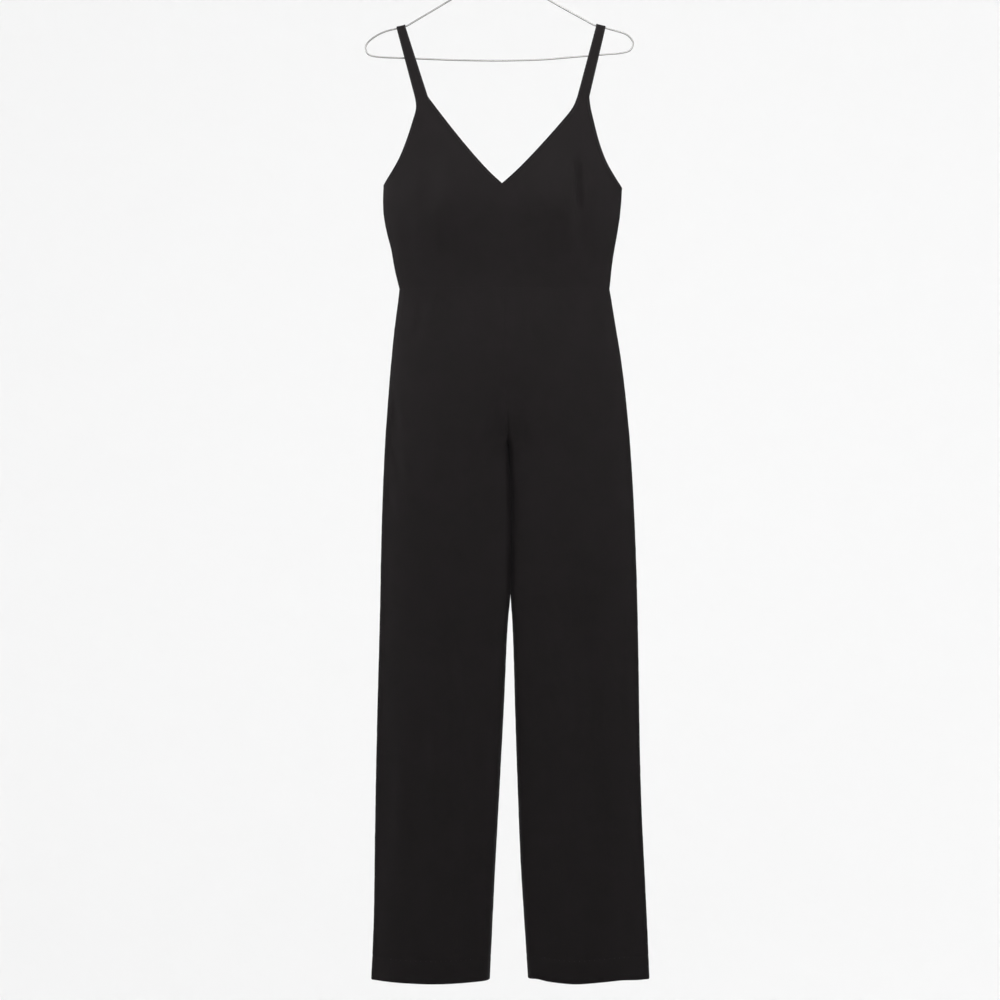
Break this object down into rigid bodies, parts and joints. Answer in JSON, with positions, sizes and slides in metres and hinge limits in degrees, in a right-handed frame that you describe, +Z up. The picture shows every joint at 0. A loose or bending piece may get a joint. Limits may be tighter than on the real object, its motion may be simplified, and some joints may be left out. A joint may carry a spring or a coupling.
{
  "type": "jumpsuit on a wire hanger",
  "caption": "Sleeveless V-neck jumpsuit with shoulder straps and straight legs, hung on a thin wire hanger by its hook.",
  "frame": {"origin": "the underside of the hanger hook's crown, where a rail carries it", "axes": "+Z up; the garment's front faces -Y; +X to the right of someone who looks at the front; the hanger and the garment are flat in the XZ plane"},
  "size_m": [0.4272, 0.0713, 1.5865],
  "materials": {
    "black_crepe": "matte black woven crepe with a fine grain",
    "black_zip_tape": "black woven zip tape",
    "black_zip_metal": "black lacquered die-cast metal",
    "hanger_wire": "drawn steel wire, slightly dulled"
  },
  "bodies": {
    "garment": {"bodice_front": "black_crepe", "bodice_back_left": "black_crepe", "bodice_back_right": "black_crepe", "trouser_front_left": "black_crepe", "trouser_front_right": "black_crepe", "trouser_back_left": "black_crepe", "trouser_back_right": "black_crepe", "strap_left": "black_crepe", "strap_right": "black_crepe", "zip_tape": "black_zip_tape", "zip_slider": "black_zip_metal", "hanger_hook": "hanger_wire", "hanger_arm_left": "hanger_wire", "hanger_arm_right": "hanger_wire", "hanger_bar": "hanger_wire"},
    "zip_pull": {"zip_pull": "black_zip_metal"}
  },
  "joints": [
    {"name": "zip_pull_swing", "type": "hinge", "parent": "garment", "child": "zip_pull", "pos_m": [0.00313, 0.03141, -0.41], "axis": [1, 0, 0], "range_deg": [0, 150]}
  ]
}
